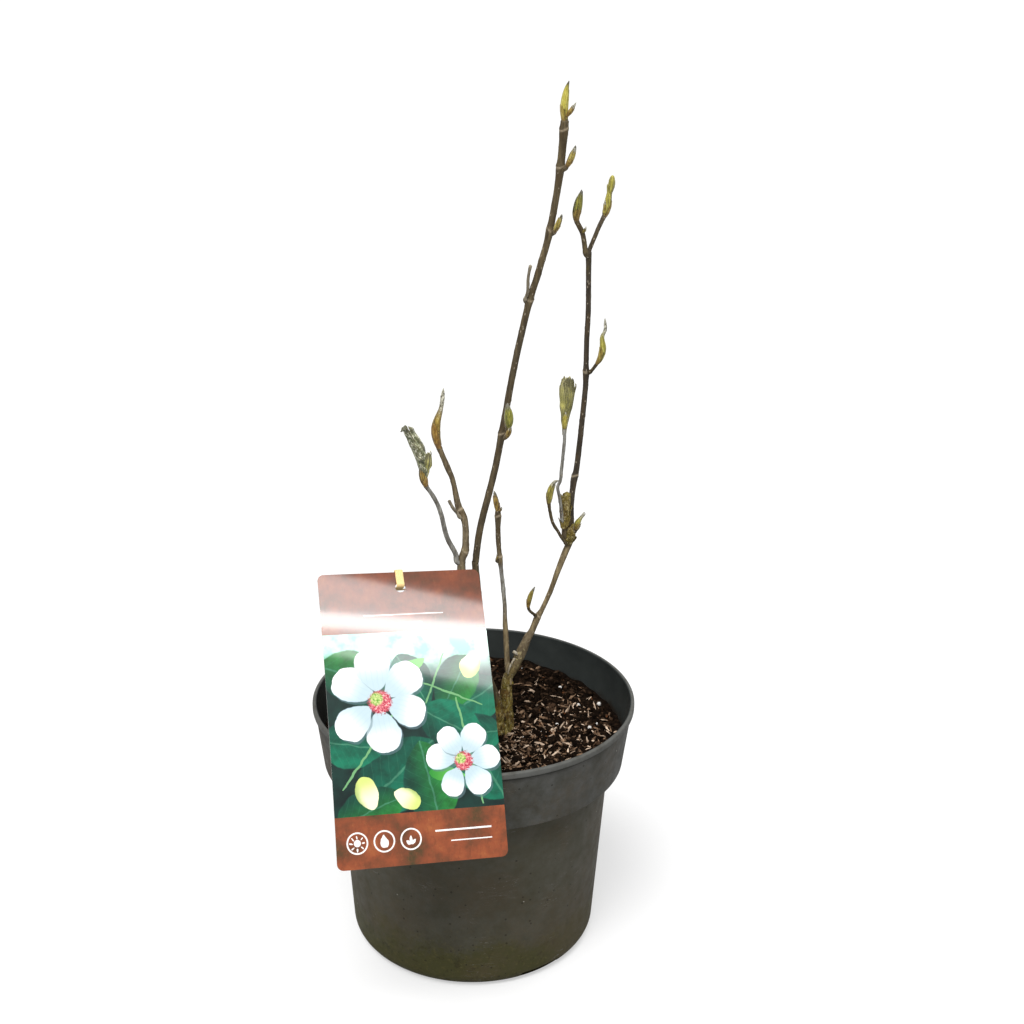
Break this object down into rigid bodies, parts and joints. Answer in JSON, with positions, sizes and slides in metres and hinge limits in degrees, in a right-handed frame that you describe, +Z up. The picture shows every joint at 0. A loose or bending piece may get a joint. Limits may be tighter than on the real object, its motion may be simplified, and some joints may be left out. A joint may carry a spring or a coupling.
{
  "type": "young magnolia tree in a nursery pot",
  "caption": "Bare young magnolia with several slim stems and opening buds, in a round nursery pot with a hanging picture label.",
  "frame": {"origin": "centre of the pot's flat underside, the face that it stands on", "axes": "+Z up the stems, -Y towards the side with the label, +X to the right of someone who faces the label"},
  "size_m": [0.19, 0.2313, 0.5021],
  "materials": {
    "pot": "satin",
    "potting_mix": "rough",
    "bark": "rough",
    "young_bark": "satin",
    "bud_scales": "soft",
    "label": "gloss",
    "label_tie": "matte"
  },
  "bodies": {
    "root": {"pot": "pot", "potting_mix": "potting_mix", "trunk": "bark", "tall_stem": "bark", "right_stem": "bark", "thin_stem": "bark", "left_stem": "bark", "left_bough": "young_bark", "right_stub": "young_bark", "tall_tip_bud": "bud_scales", "tall_upper_bud": "bud_scales", "tall_middle_bud": "bud_scales", "tall_spent_twig": "bud_scales", "tall_lower_bud": "bud_scales", "right_side_bud": "bud_scales", "right_fork_twig": "bud_scales", "right_tip_twig": "bud_scales", "right_leaf_twig": "bud_scales", "right_curved_twig": "bud_scales", "right_low_twig": "bud_scales", "right_knot_bud": "bud_scales", "thin_tip_bud": "bud_scales", "thin_side_bud": "bud_scales", "left_spent_twig": "bud_scales", "left_tip_bud": "bud_scales", "left_leaf_twig": "bud_scales", "label": "label", "label_tie": "label_tie"}
  },
  "joints": []
}
